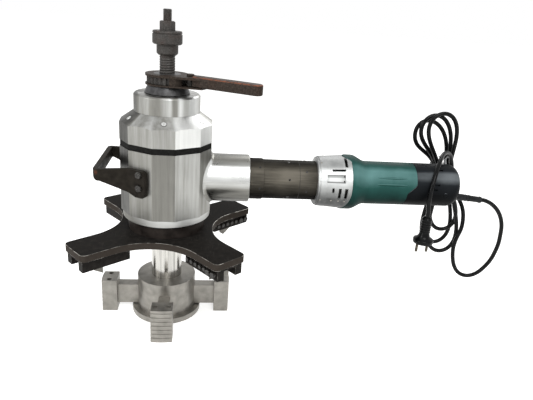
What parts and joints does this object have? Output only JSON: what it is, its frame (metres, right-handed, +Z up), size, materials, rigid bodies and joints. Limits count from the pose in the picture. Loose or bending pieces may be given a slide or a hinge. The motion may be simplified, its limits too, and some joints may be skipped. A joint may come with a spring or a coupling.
{
  "type": "pipe beveling machine",
  "caption": "Pipe beveling machine: an expanding mandrel carries a geared housing with a rotating armed cutter plate, a ratchet feed lever, a side motor and a tied power cord.",
  "frame": {"origin": "centre of the foot's bottom face, on the mandrel axis", "axes": "+Z up the mandrel axis, +X out along the motor, carry handle towards -X"},
  "size_m": [0.8006, 0.3052, 0.531],
  "materials": {
    "machined_aluminium": "satin turned and milled aluminium",
    "cast_grey": "bead blasted light grey casting",
    "seam_black": "matt black ring",
    "blackened_steel": "rough blackened steel",
    "lever_steel": "dark forged steel, rust at the edges",
    "black_oxide": "black oxide with bright worn edges",
    "brown_steel": "brownish black turned steel",
    "black_paint": "black paint",
    "tube_finish": "gunmetal brown anodised, satin",
    "polished_steel": "ground and polished",
    "plain_steel": "plain machined steel",
    "bright_steel": "light ground steel",
    "bush_bronze": "machined bronze",
    "iron_core": "varnished laminations",
    "green_plastic": "satin blue green moulding",
    "black_plastic": "satin black moulding",
    "cord_rubber": "black rubber",
    "tie_plastic": "grey twist tie",
    "nickel": "nickel plated"
  },
  "bodies": {
    "mandrel": {"mandrel": "polished_steel", "expander_head": "plain_steel", "foot_plate": "blackened_steel", "lock_hub": "blackened_steel", "thrust_collar": "blackened_steel"},
    "draw_rod": {"draw_rod": "polished_steel", "expander_wedge": "plain_steel"},
    "clamp_nut": {"clamp_nut": "blackened_steel"},
    "jaw_1": {"jaw_1": "plain_steel"},
    "jaw_2": {"jaw_2": "plain_steel"},
    "jaw_3": {"jaw_3": "plain_steel"},
    "jaw_4": {"jaw_4": "plain_steel"},
    "housing": {"main_housing": "machined_aluminium", "lower_ring": "machined_aluminium", "seam_ring": "seam_black", "upper_housing": "machined_aluminium", "cone_screws": "plain_steel", "top_cap": "machined_aluminium", "guide_bush": "bush_bronze", "guide_key": "plain_steel", "lower_bearing": "plain_steel", "upper_bearing": "plain_steel", "drive_boss": "machined_aluminium", "pinion_bearing": "plain_steel", "carry_handle": "black_paint", "handle_bolts": "plain_steel", "tube_collar": "tube_finish", "gearbox_tube": "tube_finish", "tube_screws": "plain_steel", "reduction_unit": "plain_steel", "motor_flange": "blackened_steel", "vent_housing": "cast_grey", "motor_housing": "green_plastic", "rear_housing": "black_plastic", "stator": "iron_core", "cord_sleeve": "cord_rubber", "cord_lead": "cord_rubber", "cord_hank": "cord_rubber", "cord_tail": "cord_rubber", "cord_tie": "tie_plastic", "plug_body": "cord_rubber", "plug_pins": "nickel"},
    "switch_button": {"switch_button": "black_plastic"},
    "feed_nut": {"feed_nut": "blackened_steel", "ratchet_wheel": "blackened_steel"},
    "ratchet_lever": {"ratchet_lever": "lever_steel", "pawl_pin": "lever_steel"},
    "ratchet_pawl": {"ratchet_pawl": "plain_steel"},
    "cutter": {"spindle": "brown_steel", "crown_gear": "plain_steel", "cutter_plate": "black_oxide", "plate_bolts": "blackened_steel", "tool_rails": "black_oxide", "rail_screws": "plain_steel"},
    "tool_1": {"tool_1": "bright_steel"},
    "tool_2": {"tool_2": "bright_steel"},
    "tool_3": {"tool_3": "bright_steel"},
    "tool_4": {"tool_4": "bright_steel"},
    "pinion_shaft": {"pinion_shaft": "plain_steel"},
    "armature": {"armature": "iron_core"}
  },
  "joints": [
    {"name": "draw_slide", "type": "slide", "parent": "mandrel", "child": "draw_rod", "axis": [0, 0, 1], "range_m": [-0.008, 0.009]},
    {"name": "clamp_nut_turn", "type": "hinge", "parent": "mandrel", "child": "clamp_nut", "pos_m": [0, 0, 0.5], "axis": [0, 0, 1], "range_deg": [-1645.7, 1851.4]},
    {"name": "jaw_1_slide", "type": "slide", "parent": "mandrel", "child": "jaw_1", "axis": [1, 0, 0], "range_m": [-0.004, 0.0045]},
    {"name": "jaw_2_slide", "type": "slide", "parent": "mandrel", "child": "jaw_2", "axis": [0, 1, 0], "range_m": [-0.004, 0.0045]},
    {"name": "jaw_3_slide", "type": "slide", "parent": "mandrel", "child": "jaw_3", "axis": [-1, 0, 0], "range_m": [-0.004, 0.0045]},
    {"name": "jaw_4_slide", "type": "slide", "parent": "mandrel", "child": "jaw_4", "axis": [0, -1, 0], "range_m": [-0.004, 0.0045]},
    {"name": "feed_slide", "type": "slide", "parent": "mandrel", "child": "housing", "axis": [0, 0, 1], "range_m": [-0.03, 0.014]},
    {"name": "feed_nut_turn", "type": "hinge", "parent": "housing", "child": "feed_nut", "pos_m": [0, 0, 0.4], "axis": [0, 0, 1], "range_deg": [-2700, 1260]},
    {"name": "lever_turn", "type": "hinge", "parent": "feed_nut", "child": "ratchet_lever", "pos_m": [0, 0, 0.424], "axis": [0, 0, 1], "continuous": true},
    {"name": "pawl_turn", "type": "hinge", "parent": "ratchet_lever", "child": "ratchet_pawl", "pos_m": [0.03761, -0.02085, 0.424], "axis": [0, 0, 1], "range_deg": [-15, 0]},
    {"name": "cutter_spin", "type": "hinge", "parent": "housing", "child": "cutter", "pos_m": [0, 0, 0.17], "axis": [0, 0, 1], "continuous": true},
    {"name": "pinion_spin", "type": "hinge", "parent": "housing", "child": "pinion_shaft", "pos_m": [0.1, 0, 0.261], "axis": [1, 0, 0], "continuous": true},
    {"name": "armature_spin", "type": "hinge", "parent": "housing", "child": "armature", "pos_m": [0.35, 0, 0.261], "axis": [1, 0, 0], "continuous": true},
    {"name": "switch_slide", "type": "slide", "parent": "housing", "child": "switch_button", "axis": [1, 0, 0], "range_m": [0, 0.007]},
    {"name": "tool_1_slide", "type": "slide", "parent": "cutter", "child": "tool_1", "axis": [0.7771, 0.6293, 0], "range_m": [-0.012, 0.012]},
    {"name": "tool_2_slide", "type": "slide", "parent": "cutter", "child": "tool_2", "axis": [-0.6293, 0.7771, 0], "range_m": [-0.012, 0.012]},
    {"name": "tool_3_slide", "type": "slide", "parent": "cutter", "child": "tool_3", "axis": [-0.7771, -0.6293, 0], "range_m": [-0.012, 0.012]},
    {"name": "tool_4_slide", "type": "slide", "parent": "cutter", "child": "tool_4", "axis": [0.6293, -0.7771, 0], "range_m": [-0.012, 0.012]}
  ],
  "couplings": [
    {"joint": "clamp_nut_turn", "follows": "draw_slide", "rad_per_m": 3590.4},
    {"joint": "jaw_1_slide", "follows": "draw_slide", "ratio": 0.5},
    {"joint": "jaw_2_slide", "follows": "draw_slide", "ratio": 0.5},
    {"joint": "jaw_3_slide", "follows": "draw_slide", "ratio": 0.5},
    {"joint": "jaw_4_slide", "follows": "draw_slide", "ratio": 0.5},
    {"joint": "feed_nut_turn", "follows": "feed_slide", "rad_per_m": 1570.8},
    {"joint": "pinion_spin", "follows": "cutter_spin", "ratio": 3.3333},
    {"joint": "armature_spin", "follows": "cutter_spin", "ratio": 40}
  ]
}
